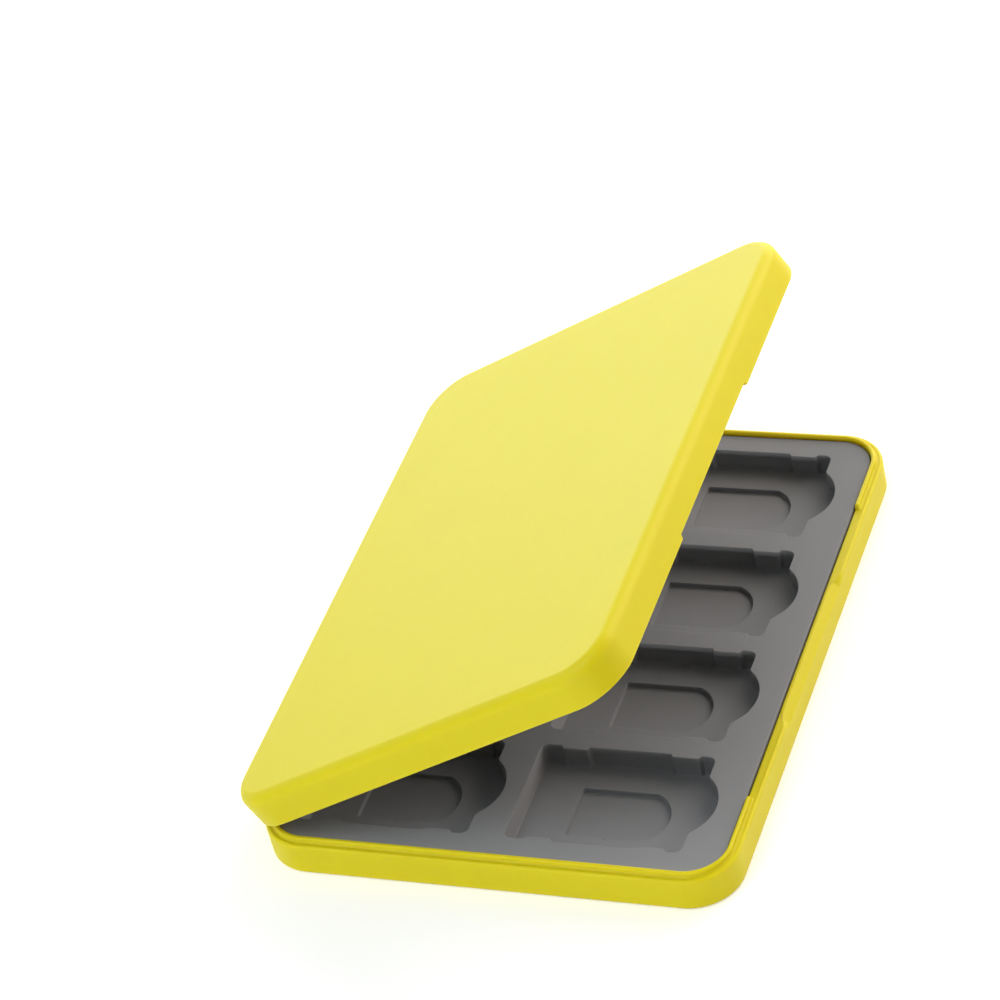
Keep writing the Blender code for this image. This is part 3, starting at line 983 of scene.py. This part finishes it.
def light_studio():
    area_light("front_overhead_softbox", (-0.21, -0.35, 0.66), (0, 0, 0), 0.7, 0.56, 2.9, COOL)
    area_light("overhead_softbox", (0.00, 0.30, 1.10), (0, 0, 0), 1.1, 0.9, 0.2, NEUTRAL)
    area_light("near_rear_softbox", (0.28, 0.52, 0.40), (0, 0, 0), 0.75, 0.65, 2.9, WARM)
    area_light("rear_softbox", (-0.40, 0.62, 0.17), (0, 0, 0.03), 0.6, 0.4, 3.0, COOL)
    area_light("left_softbox", (-1.25, 0.05, 0.45), (0, 0, 0), 1.3, 0.7, 1.0, COOL)
    area_light("rear_right_softbox", (0.20, 1.10, 0.45), (0, 0, 0), 1.1, 0.6, 2.0, NEUTRAL)
    area_light("side_softbox", (1.10, 0.10, 0.45), (0, 0, 0), 0.8, 0.6, 1.9, WARM)
    area_light("low_front_strip", (-0.10, -1.20, 0.035), (0, 0, 0.01), 1.4, 0.07, 16.5, NEUTRAL)


def make_camera():
    data = bpy.data.cameras.new("camera")
    data.sensor_fit = "HORIZONTAL"
    data.lens = FOCAL_LENGTH * data.sensor_width / PHOTO_SIDE
    camera = bpy.data.objects.new("camera", data)
    look = (CAMERA_AIM - CAMERA_PLACE).to_track_quat("-Z", "Y").to_matrix().to_4x4()
    roll = Matrix.Rotation(CAMERA_ROLL, 4, "Z")
    camera.matrix_world = Matrix.Translation(CAMERA_PLACE) @ look @ roll
    bpy.context.scene.collection.objects.link(camera)
    bpy.context.scene.camera = camera


def build():
    abs_plastic = moulded_abs()
    rubber = moulded_rubber()
    steel = drawn_steel()
    nickel = plated_nickel()
    shut_lid = OPENED @ TURNED_OVER

    base = make_base_shell()
    merge_into(base, barrel(), barrel_arm(), *[magnet_post(end) for end in ENDS])
    finish_piece("base_shell_moulding", base, abs_plastic, "base", "base_shell")
    finish_piece("base_tray_moulding", make_tray(), rubber, "base", "base_tray")

    lid = make_lid_shell()
    merge_into(lid, *[magnet_post(end) for end in ENDS])
    bmesh.ops.recalc_face_normals(lid, faces=lid.faces)
    bmesh.ops.transform(lid, matrix=TURNED_OVER, verts=lid.verts)
    for sign in ENDS.values():
        merge_into(lid, knuckle(sign), knuckle_web(sign))
    finish_piece("lid_shell_moulding", lid, abs_plastic, "lid", "lid_shell", OPENED)
    finish_piece("lid_tray_moulding", make_tray(), rubber, "lid", "lid_tray", shut_lid)

    for end in ENDS:
        other_end = "rear" if end == "front" else "front"
        finish_piece(
            f"base_magnet_disc_{end}",
            magnet(end),
            nickel,
            "base",
            f"base_magnet_{end}",
        )
        finish_piece(
            f"lid_magnet_disc_{end}",
            magnet(other_end),
            nickel,
            "lid",
            f"lid_magnet_{end}",
            shut_lid,
        )
        finish_piece(
            f"hinge_pin_wire_{end}",
            hinge_pin(end),
            steel,
            "lid",
            f"hinge_pin_{end}",
            OPENED,
        )

    make_floor()
    make_world()
    make_camera()
    light_studio()
    bpy.context.scene.view_settings.view_transform = "Standard"


build()
